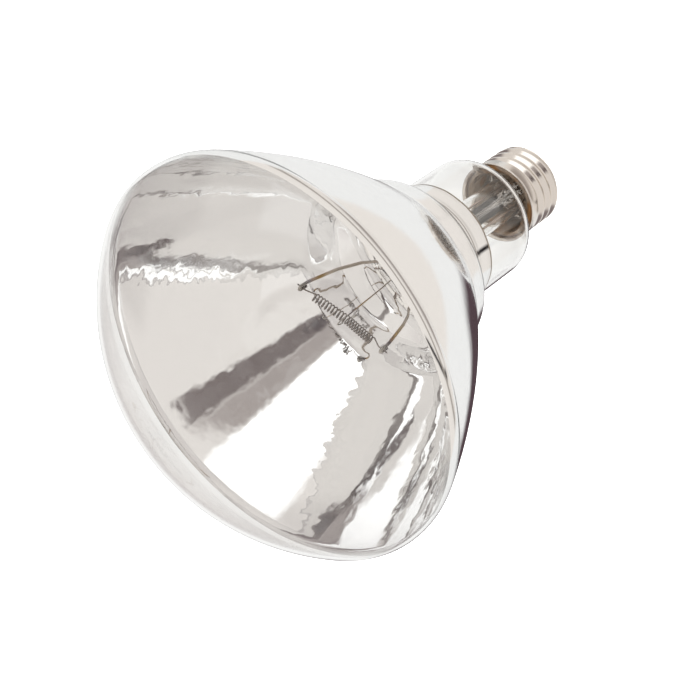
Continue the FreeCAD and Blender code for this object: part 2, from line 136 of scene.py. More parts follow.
# elevations in degrees between which the wall turns into the table, and how far back, as a share of the depth
# below, the sheet on the table starts
HORIZON = (4.0, -2.0)
SHEET_EDGE = (0.14, 0.2)
# light that the paper floor gives by itself, which keeps it white
FLOOR_GLOW = 0.75
# soft lights, all turned to one place in the lamp: name, place, width in metres and power in watts
LIGHT_AIM = (0.0, 0.0, 0.08)
SOFTBOXES = (
    ("overhead softbox", (0.1, -0.2, 1.2), 1.2, 14.0),
    ("side softbox", (-1.1, -0.5, 0.7), 0.9, 8.0),
)
SENSOR_WIDTH = 36.0
# bounces that light needs to find its way through the glass and out of the mirror
BOUNCES = {"max_bounces": 32, "glossy_bounces": 16, "transmission_bounces": 24, "transparent_max_bounces": 16}


def length(name, description, millimetres):
    """A size property in metres whose default is given in millimetres."""
    return FloatProperty(
        name=name, description=description, default=millimetres * MM, unit="LENGTH", precision=5
    )


def colour(name, description, code):
    """A hex colour property."""
    return StringProperty(name=name, description=description, default=code)


def whole(name, description, number):
    """A whole-number property."""
    return IntProperty(name=name, description=description, default=number)


class BulbSizes(PropertyGroup):
    """Sizes of the glass and of the film in it"""

    wall: length("Wall", "Thickness of the glass", 1.0)
    mouth_radius: length("Mouth radius", "Outer radius of the glass inside the cap", 10.6)
    mouth_height: length("Mouth height", "Lower end of the glass", 12.5)
    shoulder_foot: length("Shoulder foot", "Height where the glass starts to widen", 25.0)
    shoulder_round: length("Shoulder rounding", "Rounding at the foot of the shoulder", 4.0)
    neck_radius: length("Neck radius", "Outer radius of the straight neck", 19.9)
    neck_foot: length("Neck foot", "Height of the neck's lower corner", 35.0)
    neck_foot_round: length("Neck foot rounding", "Rounding of the neck's lower corner", 5.0)
    neck_top: length("Neck top", "Height where the neck meets the bead's flank", 65.5)
    neck_top_round: length("Neck top rounding", "Rounding between neck and flank", 8.0)
    bead_radius: length("Bead radius", "Radius at the bead's corner", 28.0)
    bead_height: length("Bead height", "Height of the bead's corner", 70.6)
    bead_round: length("Bead rounding", "Rounding of the bead", 5.0)
    groove_radius: length("Groove radius", "Radius where the band meets the bowl", 32.0)
    groove_height: length("Groove height", "Height where the band meets the bowl", 80.8)
    groove_round: length("Groove rounding", "Rounding between band and bowl", 8.0)
    bowl_round: length("Bowl rounding", "Radius of the bowl's slow curve", 206.0)
    rim_radius: length("Rim radius", "Largest radius of the glass", 62.5)
    rim_height: length("Rim height", "Height of the widest circle", 134.2)
    rim_round: length("Rim rounding", "Rounding of the rolled rim", 8.0)
    dome_radius: length("Dome radius", "Radius of the face's sphere", 75.0)
    film_foot: length("Film foot", "Lower edge of the mirror film", 55.0)
    film_top: length("Film top", "Upper edge of the mirror film", 135.4)
    edge_wave: length("Film edge wave", "How far the film's edge wanders", 0.2)
    edge_band: length("Film edge band", "Width of the thin film along the lower edge", 0.6)
    chord_sag: length("Chord sag", "How close the outline stays to its arcs", 0.006)
    row_length: length("Row length", "Longest row of the outline", 1.6)
    sides: whole("Sides", "Facets round the axis", 224)


class StemSizes(PropertyGroup):
    """Sizes of the stem with its press, flare and exhaust tube"""

    radius: length("Stem radius", "Outer radius of the stem tube", 6.6)
    wall: length("Stem wall", "Thickness of the stem tube", 1.1)
    top: length("Stem top", "Height where the tube starts to flatten", 46.0)
    press_foot: length("Press foot", "Height where the press is flat", 52.0)
    press_top: length("Press top", "Top of the press", 62.0)
    press_length: length("Press length", "Width of the press along X", 15.0)
    press_thickness: length("Press thickness", "Thickness of the press along Y", 5.6)
    flare_rim: length("Flare rim", "Thickness of the flare's sealed rim", 1.0)
    flare_height: length("Flare height", "Height of the flare above the mouth", 7.0)
    exhaust_radius: length("Exhaust radius", "Outer radius of the exhaust tube", 2.6)
    exhaust_bore: length("Exhaust bore", "Inner radius of the exhaust tube", 1.6)
    exhaust_tip: length("Exhaust tip", "Sealed lower end of the exhaust tube", 9.5)
    sides: whole("Sides", "Facets round the stem", 96)


class WireSizes(PropertyGroup):
    """Sizes of the leads, the support and the filament"""

    spacing: length("Lead spacing", "Distance between the two leads in the press", 8.4)
    outer_radius: length("Outer lead radius", "Radius of the thin outer leads", 0.35)
    outer_drop: length("Outer lead drop", "How far the shell's lead passes under the flare", 1.05)
    outer_bend: length("Outer lead bend", "Bend radius of the shell's lead", 0.7)
    contact_bend: length("Contact lead bend", "Bend radius of the contact's lead", 2.1)
    seal_radius: length("Seal wire radius", "Radius of the sealing wires", 0.4)
    inner_radius: length("Inner lead radius", "Radius of the inner leads", 0.5)
    support_radius: length("Support radius", "Radius of the support wire", 0.2)
    grip: length("Grip", "Length of wire held in the press", 3.0)
    height: length("Filament height", "Height of the filament's ends", 104.3)
    reach_a: length("Clamp A reach", "Distance of clamp A from the axis", 14.0)
    reach_b: length("Clamp B reach", "Distance of clamp B from the axis", 17.0)
    bend_a: length("Lead A bend reach", "Distance of lead A's bend from the axis", 12.4)
    bend_a_height: length("Lead A bend height", "Height of lead A's bend", 90.0)
    bend_b: length("Lead B bend reach", "Distance of lead B's bend from the axis", 13.4)
    bend_b_height: length("Lead B bend height", "Height of lead B's bend", 85.8)
    bend_round: length("Bend rounding", "Rounding of the leads' bends", 12.0)
    clamp_gap: length("Clamp gap", "Space between the clamp's limbs", 0.6)
    clamp_tail: length("Clamp tail", "Length of the folded-back end", 2.2)
    coil_a: length("Coil end A", "Where the coil starts, along X", 9.3)
    coil_kink: length("Coil kink", "Where the support meets the coil, along X", -2.8)
    coil_b: length("Coil end B", "Where the coil ends, along X", -12.9)
    coil_sag: length("Coil sag", "Drop of the coil at the kink", 0.7)
    coil_radius: length("Coil radius", "Radius of the coil to the wire's middle", 1.25)
    filament_radius: length("Filament radius", "Radius of the filament wire", 0.2)
    tail: length("Filament tail", "Length of the filament past each clamp", 1.6)
    hook_rise: length("Hook rise", "Height of the support's hook over the coil", 4.4)
    hook_gap: length("Hook gap", "Space between support and coil", 0.3)
    turns_a: whole("Turns A", "Turns between clamp A and the kink", 11)
    turns_b: whole("Turns B", "Turns between the kink and clamp B", 11)
    steps: whole("Steps", "Steps in each turn of the coil", 24)


class CapSizes(PropertyGroup):
    """Sizes of the shell and of what fills it"""

    sheet: length("Sheet", "Thickness of the rolled sheet", 0.35)
    rim: length("Shell rim", "Height of the shell's rim", 24.0)
    end: length("Shell end", "Height of the shell's lower edge", 5.9)
    lip_radius: length("Lip radius", "Radius of the flared lip", 13.75)
    band_top: length("Band top", "Top of the plain band", 22.8)
    band_foot: length("Band foot", "Foot of the plain band", 20.2)
    crest: length("Crest radius", "Radius of the thread's crest", 13.2)
    root: length("Root radius", "Radius of the thread's root", 12.15)
    pitch: length("Pitch", "Rise of the thread in one turn", 25.4 / 7)
    thread_foot: length("Thread foot", "Lower end of the thread", 7.6)
    thread_fade: length("Thread fade", "Height over which the thread runs out", 1.2)
    mouth: length("Shell mouth", "Radius of the shell's lower opening", 10.6)
    insulator_top: length("Insulator top", "Top of the insulator inside the shell", 9.0)
    contact_radius: length("Contact radius", "Radius of the centre contact", 4.9)
    contact_seat: length("Contact seat", "Height of the insulator's end face", 1.4)
    contact_thickness: length("Contact thickness", "Thickness of the contact disc", 0.5)
    bore: length("Wire bore", "Radius of the hole for the lead", 0.9)
    solder_radius: length("Solder radius", "Radius of the solder tip", 2.6)
    solder_flat: length("Solder flat", "Radius of the tip's flat", 1.3)
    side_solder: length("Side solder radius", "Radius of the drop on the rim", 1.3)
    side_solder_height: length("Side solder height", "Height of the drop on the rim", 0.9)
    rim_clearance: length("Rim clearance", "Space between the shell's lead and the rim", 0.05)
    rim_reach: length("Rim reach", "Radius where the shell's lead comes over the rim", 12.15)
    seat_gap: length("Seat gap", "Space between the shell and what fills it", 0.35)
    insulator_dish: length("Insulator dish", "Depth of the dish in the insulator's top", 0.35)
    insulator_edge: length("Insulator edge", "Height of the insulator's step", 0.7)
    contact_margin: length("Contact margin", "Width of the insulator's face round the contact", 0.35)
    cement_gap: length("Cement gap", "Space between cement and glass", 0.1)
    cement_foot: length("Cement foot", "Lower end of the cement ring", 14.0)
    cement_top: length("Cement top", "Upper end of the cement ring", 22.4)
    solder_angle: FloatProperty(
        name="Solder angle", description="Where on the rim the drop sits",
        default=math.radians(-36.0), subtype="ANGLE",
    )
    sides: whole("Sides", "Facets round the cap", 144)


class Finishes(PropertyGroup):
    """Colours of the lamp"""

    glass: colour("Glass", "Tint of the clear glass", "#FEFEFD")
    mirror: colour("Mirror", "Colour of the aluminium film", "#F2F2F2")
    thin_film: colour("Thin film", "Colour of the film's thin lower edge", "#9C8F80")
    cap: colour("Cap", "Colour of the shell", "#E2DCD5")
    nickel: colour("Nickel", "Colour of the leads", "#B3A89C")
    tungsten: colour("Tungsten", "Colour of the filament", "#857B75")
    copper: colour("Copper", "Colour of the outer leads", "#A08C80")
    cement: colour("Cement", "Colour of the basing cement", "#8A7A6C")
    scorched: colour("Scorched cement", "Colour of the cement's amber patches", "#7D5A38")
    insulator: colour("Insulator", "Colour of the black glass", "#15141A")
    brass: colour("Brass", "Colour of the contact", "#C9A25A")
    solder: colour("Solder", "Colour of the solder", "#A9A7A3")


class StudioLook(PropertyGroup):
    """Place of the camera, and sizes and colours of the studio"""

    floor_drop: length("Floor drop", "How far the floor lies under the held lamp", 300.0)
    floor_size: length("Floor size", "Width of the floor", 6000.0)
    lens: FloatProperty(name="Lens", description="Focal length", default=87.35, unit="CAMERA")
    eye: FloatVectorProperty(
        name="Eye", description="Place of the camera", default=(-0.16165, -0.33587, 0.41790),
        subtype="TRANSLATION",
    )
    ahead: FloatVectorProperty(
        name="Ahead", description="Direction of view", default=(0.31464, 0.70189, -0.63901),
        subtype="DIRECTION",
    )
    upright: FloatVectorProperty(
        name="Upright", description="Top of the picture", default=(0.58249, -0.67432, -0.45386),
        subtype="DIRECTION",
    )
    room_turn: FloatProperty(
        name="Room turn", description="Azimuth that the room's panels are measured from",
        default=math.radians(-115.7), subtype="ANGLE",
    )
    paper: colour("Paper", "Colour of the floor", "#FFFFFF")
    room: colour("Room", "Colour of the studio's walls seen in the mirror", "#F1ECE8")
    table: colour("Table", "Colour of the table seen in the mirror", "#F4EEE8")
    sheet: colour("Sheet", "Colour of the plain sheet behind the lamp", "#FAFAF9")


def linear(code):
    """Linear RGBA from an sRGB hex colour."""
    values = [int(code[i:i + 2], 16) / 255 for i in (1, 3, 5)]
    return [v / 12.92 if v <= 0.04045 else ((v + 0.055) / 1.055) ** 2.4 for v in values] + [1.0]


def add_node(tree, kind, settings=None, **links):
    """Add a node with settings, and link or set its named inputs."""
    node = tree.nodes.new(kind)
    for key, value in (settings or {}).items():
        setattr(node, key, value)
    for key, value in links.items():
        numbered = key[0] == "i" and key[1:].isdigit()
        socket = node.inputs[int(key[1:]) if numbered else key.replace("_", " ")]
        if isinstance(value, bpy.types.NodeSocket):
            tree.links.new(value, socket)
        else:
            socket.default_value = value
    return node


def new_material(name):
    """An empty node material and its tree."""
    material = bpy.data.materials.new(name)
    material.use_nodes = True
    material.node_tree.nodes.clear()
    return material, material.node_tree


def ripple(tree, size, height, detail=2.0, strength=1.0):
    """A bump from soft noise: one grain per size and a depth of height, both in millimetres."""
    place = add_node(tree, "ShaderNodeTexCoord")
    noise = add_node(
        tree, "ShaderNodeTexNoise", Vector=place.outputs["Object"], Scale=1 / (size * MM), Detail=detail,
        Roughness=0.5,
    )
    bump = add_node(tree, "ShaderNodeBump", Height=noise.outputs[0], Strength=strength, Distance=height * MM)
    return bump.outputs[0]


def plain(name, code, metallic, roughness, grain=None):
    """A material of one colour, with an optional fine bump given as grain size and depth in millimetres."""
    material, tree = new_material(name)
    shader = add_node(
        tree, "ShaderNodeBsdfPrincipled", Base_Color=linear(code), Metallic=metallic, Roughness=roughness
    )
    if grain:
        tree.links.new(ripple(tree, *grain), shader.inputs["Normal"])
    add_node(tree, "ShaderNodeOutputMaterial", Surface=shader.outputs[0])
    return material


def blown_glass(name, code):
    """Soda-lime glass, blown and fire-polished."""
    # colourless and sharp: the eye gets only edge lines and highlights, and light passes to what is behind
    material, tree = new_material(name)
    shader = add_node(
        tree, "ShaderNodeBsdfPrincipled", Base_Color=linear(code), Roughness=0.0, IOR=GLASS_IOR,
        Transmission_Weight=1.0,
    )
    path = add_node(tree, "ShaderNodeLightPath")
    open_air = add_node(tree, "ShaderNodeBsdfTransparent", Color=linear(code))
    mix = add_node(
        tree, "ShaderNodeMixShader", i0=path.outputs["Is Shadow Ray"], i1=shader.outputs[0],
        i2=open_air.outputs[0],
    )
    add_node(tree, "ShaderNodeOutputMaterial", Surface=mix.outputs[0])
    return material


def mirror_film(name, code):
    """Aluminium vapour-deposited on the inside of blown glass."""
    # a bright mirror whose pictures of the room have wavy edges, from the slow ripple of the glass under it;
    # the bare face shows the ripple, and the face that lies on the glass is nearly even
    material, tree = new_material(name)
    side = add_node(tree, "ShaderNodeNewGeometry")
    even = add_node(
        tree, "ShaderNodeMath", {"operation": "MULTIPLY_ADD"}, i0=side.outputs["Backfacing"], i1=-MIRROR_EVEN,
        i2=1.0,
    )
    shader = add_node(
        tree, "ShaderNodeBsdfPrincipled", Base_Color=linear(code), Metallic=1.0, Roughness=0.025,
        Normal=ripple(tree, MIRROR_RIPPLE, MIRROR_RIPPLE_DEPTH, detail=1.5, strength=even.outputs[0]),
    )
    add_node(tree, "ShaderNodeOutputMaterial", Surface=shader.outputs[0])
    return material


def heat_tinted_nickel(name, code, sizes):
    """Drawn nickel wire, tinted where the clamp has been hot."""
    # grey satin metal that turns straw, brown and blue-grey over the last few millimetres under the clamp
    material, tree = new_material(name)
    place = add_node(tree, "ShaderNodeTexCoord")
    split = add_node(tree, "ShaderNodeSeparateXYZ", Vector=place.outputs["Object"])
    span = add_node(
        tree, "ShaderNodeMapRange", Value=split.outputs["Z"], i1=sizes.height - TINT_BELOW * MM,
        i2=sizes.height + TINT_ABOVE * MM,
    )
    ramp = add_node(tree, "ShaderNodeValToRGB", Fac=span.outputs[0])
    band = ramp.color_ramp
    band.elements[0].color = linear(code)
    band.elements[1].color = linear(CLAMP_TINT)
    for position, tint in HEAT_TINTS:
        band.elements.new(position).color = linear(tint)
    shader = add_node(
        tree, "ShaderNodeBsdfPrincipled", Base_Color=ramp.outputs[0], Metallic=1.0, Roughness=0.3
    )
    add_node(tree, "ShaderNodeOutputMaterial", Surface=shader.outputs[0])
    return material


def baked_cement(name, code, scorched):
    """Basing cement, cast into the cap and baked."""
    # matt and gritty with no highlight, in brown that is scorched to amber in patches
    material, tree = new_material(name)
    place = add_node(tree, "ShaderNodeTexCoord")
    patches = add_node(
        tree, "ShaderNodeTexNoise", Vector=place.outputs["Object"], Scale=1 / (CEMENT_PATCH * MM), Detail=1.0
    )
    low, high = PATCH_EDGE
    edge = add_node(tree, "ShaderNodeMapRange", EASED, Value=patches.outputs[0], i1=low, i2=high)
    tint = add_node(tree, "ShaderNodeMix", COLOURS, i0=edge.outputs[0], i6=linear(code), i7=linear(scorched))
    shader = add_node(
        tree, "ShaderNodeBsdfPrincipled", Base_Color=tint.outputs[2], Roughness=0.9,
        Normal=ripple(tree, *CEMENT_GRIT),
    )
    add_node(tree, "ShaderNodeOutputMaterial", Surface=shader.outputs[0])
    return material


def finish(name, make, *settings):
    """The material of that name, made by a function the first time it is asked for."""
    return bpy.data.materials.get(name) or make(name, *settings)


def finishes():
    """Every finish of the lamp by its key."""
    look = bpy.context.scene.lamp_finishes
    made = {
        "glass": finish("Blown soda-lime glass", blown_glass, look.glass),
        "mirror": finish("Vapour-deposited aluminium", mirror_film, look.mirror),
        "nickel": finish(
            "Drawn nickel with heat tint", heat_tinted_nickel, look.nickel, bpy.context.scene.lamp_wires
        ),
        "cement": finish("Baked basing cement", baked_cement, look.cement, look.scorched),
    }
    for key, (name, *settings) in PLAIN_FINISHES.items():
        made[key] = finish(name, plain, getattr(look, key), *settings)
    return made


def outside_out(points, groups):
    """Face groups turned so that a closed mesh holds a positive volume: the sum of a . (b x c) over the
    triangles of every face's fan is above zero."""
    volume = sum(
        np.sum(points[rows[:, :1]] * np.cross(points[rows[:, 1:-1]], points[rows[:, 2:]])) for rows in groups
    )
    return [rows[:, ::-1] for rows in groups] if volume < 0 else groups


def build(name, points, groups, keys, nodes, slot, which=None):
    """A smooth mesh object at the origin, with the finishes of the keys, that rides with the lamp and stands
    for CAD nodes. A face's number in which picks its finish, the first one by default."""
    look = finishes()
    groups = outside_out(points, groups)
    mesh = bpy.data.meshes.new(name)
    mesh.from_pydata(points.tolist(), [], [face for rows in groups for face in rows.tolist()])
    for key in keys:
        mesh.materials.append(look[key])
    if which is not None:
        mesh.polygons.foreach_set("material_index", np.asarray(which, dtype=np.int32))
    mesh.polygons.foreach_set("use_smooth", np.ones(len(mesh.polygons), dtype=bool))
    mesh.validate()
    mesh.update()
    piece = bpy.data.objects.new(name, mesh)
    bpy.context.scene.collection.objects.link(piece)
    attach(piece, "root")
    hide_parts(*nodes)


def unit(vector):
    """A vector divided by its length."""
    return vector / np.linalg.norm(vector)


def outward(direction):
    """The outward normal of an outline that climbs along a direction: a quarter turn to the right."""
    return np.array([direction[1], -direction[0]])


def slope(direction):
    """The angle of a direction above the outline's radius axis."""
    return math.atan2(direction[1], direction[0])


def arc(centre, radius, start, turn, sag):
    """Rows (radius, height, normal) of an arc: the normal turns evenly from a start angle, and each point is
    the centre plus the radius along it. A hollow arc has a negative radius."""
    count = max(math.ceil(abs(turn) / (2 * math.acos(1 - sag / abs(radius)))), 1)
    angles = start + np.linspace(0, turn, count + 1)
    normals = np.stack([np.cos(angles), np.sin(angles)], axis=1)
    return np.hstack([centre + radius * normals, normals])


def corner(before, at, after, radius, sag):
    """Rows of the arc that rounds a corner: it starts where its tangent, the radius times the tangent of half
    the turn, leaves the side before, and a turn to the right makes it hollow."""
    arriving, leaving = unit(at - before), unit(after - at)
    turn = math.atan2(arriving[0] * leaving[1] - arriving[1] * leaving[0], arriving @ leaving)
    bend = math.tan(abs(turn) / 2)
    reach = min(radius * bend, CORNER_SHARE * min(np.linalg.norm(at - before), np.linalg.norm(after - at)))
    radius = math.copysign(reach / bend, turn)
    centre = at - arriving * reach - outward(arriving) * radius
    return arc(centre, radius, slope(outward(arriving)), turn, sag)


def bulb_outline(s):
    """The glass's outer outline with its normals, from the mouth to the top of the dome: rounded corners up
    to the groove, then three arcs that roll into each other, bowl, rim and dome. The bowl's centre lies one
    bowl radius from the groove and the difference of both radii from the rim's centre, and the dome's lies on
    the axis at the difference of its radius and the rim's."""
    rim_centre = np.array([s.rim_radius - s.rim_round, s.rim_height])
    groove = np.array([s.groove_radius, s.groove_height])
    across = rim_centre - groove
    span = np.linalg.norm(across)
    share = (span ** 2 + s.bowl_round ** 2 - (s.bowl_round - s.rim_round) ** 2) / (2 * span)
    aside = math.sqrt(s.bowl_round ** 2 - share ** 2)
    bowl_centre = groove + across / span * share - outward(across / span) * aside
    bowl_start, bowl_end = slope(groove - bowl_centre), slope(rim_centre - bowl_centre)
    drop = math.sqrt((s.dome_radius - s.rim_round) ** 2 - rim_centre[0] ** 2)
    dome_centre = np.array([0.0, s.rim_height - drop])
    dome_start = slope(rim_centre - dome_centre)
    bowl_way = np.array([-math.sin(bowl_start), math.cos(bowl_start)])
    corners = [
        ((s.mouth_radius, s.mouth_height), 0),
        ((s.mouth_radius, s.shoulder_foot), s.shoulder_round),
        ((s.neck_radius, s.neck_foot), s.neck_foot_round),
        ((s.neck_radius, s.neck_top), s.neck_top_round),
        ((s.bead_radius, s.bead_height), s.bead_round),
        (groove, s.groove_round),
        (groove + bowl_way * s.groove_round, 0),
    ]
    places = [np.array(at, dtype=float) for at, _ in corners]
    rounded = [
        corner(places[i - 1], places[i], places[i + 1], corners[i][1], s.chord_sag)
        for i in range(1, len(corners) - 1)
    ]
    return np.vstack([
        np.array([[*places[0], 1.0, 0.0]]),
        *rounded,
        arc(bowl_centre, s.bowl_round, bowl_start, bowl_end - bowl_start, s.chord_sag)[1:],
        arc(rim_centre, s.rim_round, bowl_end, dome_start - bowl_end, s.chord_sag)[1:],
        arc(dome_centre, s.dome_radius, dome_start, math.pi / 2 - dome_start, s.chord_sag)[1:],
    ])


def finer(rows, longest):
    """Rows of an outline with each step split evenly, so that none is longer than a limit."""
    lengths = np.linalg.norm(np.diff(rows[:, :2], axis=0), axis=1)
    counts = np.maximum(np.ceil(lengths / longest), 1).astype(int)
    step = np.repeat(np.arange(len(counts)), counts)
    share = (np.arange(counts.sum()) - np.repeat(np.cumsum(counts) - counts, counts)) / counts[step]
    split = rows[step] + (rows[step + 1] - rows[step]) * share[:, None]
    return np.vstack([split, rows[-1:]])


def with_rows(rows, heights, clear):
    """Rows of a rising outline with extra rows at given heights, and none within a distance of them."""
    for height in heights:
        above = int(np.argmax(rows[:, 1] > height))
        low, high = rows[above - 1], rows[above]
        extra = low + (high - low) * ((height - low[1]) / (high[1] - low[1]))
        far = np.linalg.norm(rows[:, :2] - extra[:2], axis=1) > clear
        before = np.arange(len(rows)) < above
        rows = np.vstack([rows[far & before], extra, rows[far & ~before]])
    return rows


def ring_quads(rings, count):
    """Quads of a grid that closes round both ways: point k of ring i to the next point and the next ring."""
    i, k = np.arange(rings)[:, None], np.arange(count)[None, :]
    j, m = (i + 1) % rings, (k + 1) % count
    return np.stack([i * count + k, j * count + k, j * count + m, i * count + m], axis=2).reshape(-1, 4)


def even_turn(sides):
    """Angles that share a full turn evenly."""
    return np.arange(sides) * (2 * math.pi / sides)


def swept(radii, heights, sides):
    """A grid round the axis: (radius cos a, radius sin a, height), with radii that may differ by angle."""
    angles = even_turn(sides)[:, None]
    radii = np.broadcast_to(radii, (sides, len(heights)))
    return np.stack(
        [radii * np.cos(angles), radii * np.sin(angles), np.broadcast_to(heights, radii.shape)], axis=2
    )


def spun(rows, sides):
    """A closed (radius, height) outline turned round the axis."""
    rows = np.array(rows, dtype=float)
    return swept(rows[:, 0], rows[:, 1], sides).reshape(-1, 3), [ring_quads(sides, len(rows))]


def capped(rings):
    """A row of rings joined by quads and closed by a flat face at each end."""
    count, sides = rings.shape[:2]
    ends = np.arange(sides)[None, :]
    groups = [ring_quads(count, sides)[:(count - 1) * sides], ends, (ends + (count - 1) * sides)[:, ::-1]]
    return rings.reshape(-1, 3), groups


def tube(path, radius, sides=WIRE_SIDES, helper=(1.0, 0.0, 0.0)):
    """A round wire: at each point of the path a circle of the radius, on the two directions square to the way
    ahead that the cross product with a helper direction gives."""
    path = np.array(path, dtype=float)
    ahead = np.gradient(path, axis=0)
    ahead /= np.linalg.norm(ahead, axis=1)[:, None]
    across = np.cross(ahead, helper)
    across /= np.linalg.norm(across, axis=1)[:, None]
    beside = np.cross(ahead, across)
    angles = even_turn(sides)[None, :, None]
    circle = np.cos(angles) * across[:, None] + np.sin(angles) * beside[:, None]
    return capped(path[:, None] + radius * circle)


def bent(points, radius):
    """A path whose inner corners become parabolas, start (1 - t)^2 + corner 2t (1 - t) + end t^2, that start
    and end at the radius times the tangent of half the turn from the corner."""
    points = np.array(points, dtype=float)
    spans = np.diff(points, axis=0)
    lengths = np.linalg.norm(spans, axis=1)
    ways = spans / lengths[:, None]
    turns = np.arccos(np.clip(np.sum(ways[:-1] * ways[1:], axis=1), -1, 1))
    reach = np.minimum(radius * np.tan(turns / 2), CORNER_SHARE * np.minimum(lengths[:-1], lengths[1:]))
    at = points[1:-1, None]
    start = at - ways[:-1, None] * reach[:, None, None]
    end = at + ways[1:, None] * reach[:, None, None]
    t = np.linspace(0, 1, BEND_STEPS + 1)[None, :, None]
    curves = start * (1 - t) ** 2 + at * (2 * t * (1 - t)) + end * t ** 2
    return np.vstack([points[:1], curves.reshape(-1, 3), points[-1:]])


def joined(*parts):
    """Several meshes as one, each one's indices moved past the points before it."""
    starts = np.cumsum([0] + [len(points) for points, _ in parts])
    groups = [rows + start for part, start in zip(parts, starts) for rows in outside_out(*part)]
    return np.vstack([points for points, _ in parts]), groups


def quarter():
    """Sines and cosines over a quarter turn."""
    angles = np.linspace(0, math.pi / 2, ROUND_STEPS + 1)
    return np.sin(angles), np.cos(angles)


def at_angle(angle, radius, height):
    """The place (radius cos a, radius sin a, height)."""
    return (radius * math.cos(angle), radius * math.sin(angle), height)


class LAMP_OT_envelope(Operator):
    """Blow the glass and line its bowl with the mirror film"""

    bl_idname = "lamp.envelope"
    bl_label = "Glass and mirror"

    def execute(self, context):
        """The outer outline and the same moved in by the wall, turned round the axis, with one point at the
        top of each; the inner rows between the film's edges carry the mirror."""
        s = context.scene.lamp_bulb
        outer = finer(bulb_outline(s), s.row_length)
        inner = outer.copy()
        inner[:, :2] -= inner[:, 2:] * s.wall
        edges = (s.film_foot, s.film_foot + s.edge_band, s.film_top)
        inner = with_rows(inner, edges, 2 * s.edge_wave)
        outline = np.vstack([outer[:-1, :2], inner[-2::-1, :2]])
        last = len(outer) - 2
        count = len(outline)
        heights = (outline[:, 1] + np.roll(outline[:, 1], -1)) / 2
        inside = (np.arange(count) > last) & (np.arange(count) < count - 1)
        film = inside & (heights > s.film_foot) & (heights < s.film_top)
        thin = film & (heights < s.film_foot + s.edge_band)
        points = swept(outline[:, 0], outline[:, 1], s.sides)
        # the film's edges wander round the lamp as a sum of sine waves
        turn = even_turn(s.sides)
        wave = s.edge_wave * sum(share * np.sin(waves * turn + phase) for waves, share, phase in EDGE_WAVES)
        for height in edges:
            points[:, last + 1 + int(np.argmin(np.abs(outline[last + 1:, 1] - height))), 2] += wave
        points = np.vstack([points.reshape(-1, 3), [[0, 0, outer[-1, 1]], [0, 0, inner[-1, 1]]]])
        keep = np.tile(np.arange(count) != last, s.sides)
        here = np.arange(s.sides) * count + last
        beyond = np.roll(here, -1)
        outer_top = np.full(s.sides, len(points) - 2)
        tops = np.vstack([
            np.stack([here, beyond, outer_top], axis=1),
            np.stack([outer_top + 1, beyond + 1, here + 1], axis=1),
        ])
        which = np.concatenate([
            np.tile(film.astype(int) + thin, s.sides)[keep], np.zeros(len(tops), dtype=int),
        ])
        build(
            "glass_and_mirror", points, [ring_quads(s.sides, count)[keep], tops],
            ("glass", "mirror", "thin_film"), ("glass_bulb", "reflector_coating"), "clear_glass", which,
        )
        return {"FINISHED"}


class LAMP_OT_stem(Operator):
    """Form the stem tube, its flare and press, and the exhaust tube"""

    bl_idname = "lamp.stem"
    bl_label = "Stem"

    def execute(self, context):
        """Rings from the press down the outside, round the flare and up the bore: each ring is a
        straight-sided oval, a circle of the half thickness pulled apart along X to the half length."""
        s = context.scene.lamp_stem
        b = context.scene.lamp_bulb
        bore, bore_top = s.radius - s.wall, s.top - s.wall
        seal, sealed = b.mouth_radius - b.wall, b.mouth_height - s.flare_rim
        edge = s.press_thickness * PRESS_EDGE
        t = np.linspace(0, 1, FORM_STEPS + 1)
        ease = t * t * (3 - 2 * t)
        sine, cosine = quarter()
        # the press narrows into its round edge, eases into the tube, flares as a cubic, and the bore follows
        inset = np.array([edge, edge * PRESS_EDGE_MIDDLE, 0.0])
        press = np.array([s.press_length, s.press_thickness]) / 2
        eased = press + (s.radius - press) * ease[:, None]
        flare = s.radius + (seal - s.radius) * t ** 3
        rim = np.array([b.mouth_radius, b.mouth_radius, seal])
        inner_flare = (bore + (seal - s.wall / 2 - bore) * t ** 3)[::-1]
        vault = bore * (VAULT_FLAT + (1 - VAULT_FLAT) * cosine)
        round_part = np.concatenate([flare, rim, inner_flare, vault])
        half_length = np.concatenate([press[0] - inset, eased[:, 0], round_part])[:, None]
        half_thickness = np.concatenate([press[1] - inset, eased[:, 1], round_part])[:, None]
        heights = np.concatenate([
            s.press_top - inset[::-1],
            s.press_foot + (s.top - s.press_foot) * t,
            b.mouth_height + s.flare_height * (1 - t),
            np.array([b.mouth_height, sealed, sealed]),
            sealed + s.wall / 2 + s.flare_height * t,
            bore_top - bore / 2 * (1 - sine),
        ])[:, None]
        angle = even_turn(s.sides)[None, :] + math.pi / s.sides
        x = np.copysign(half_length - half_thickness, np.cos(angle)) + half_thickness * np.cos(angle)
        y = half_thickness * np.sin(angle)
        stem = capped(np.stack([x, y, np.broadcast_to(heights, x.shape)], axis=2))

        shoulder, top = s.exhaust_tip + s.exhaust_radius, bore_top - EXHAUST_GAP
        tip = np.stack(
            [np.maximum(s.exhaust_radius * sine, POLE), shoulder - s.exhaust_radius * cosine], axis=1
        )
        exhaust = spun(np.vstack([
            tip, (s.exhaust_radius, top), (s.exhaust_bore, top), (s.exhaust_bore, shoulder),
            (POLE, shoulder - EXHAUST_END * s.exhaust_bore),
        ]), SMALL_SIDES)
        build("stem", *joined(stem, exhaust), ("glass",), ("glass_stem",), "clear_glass")
        return {"FINISHED"}


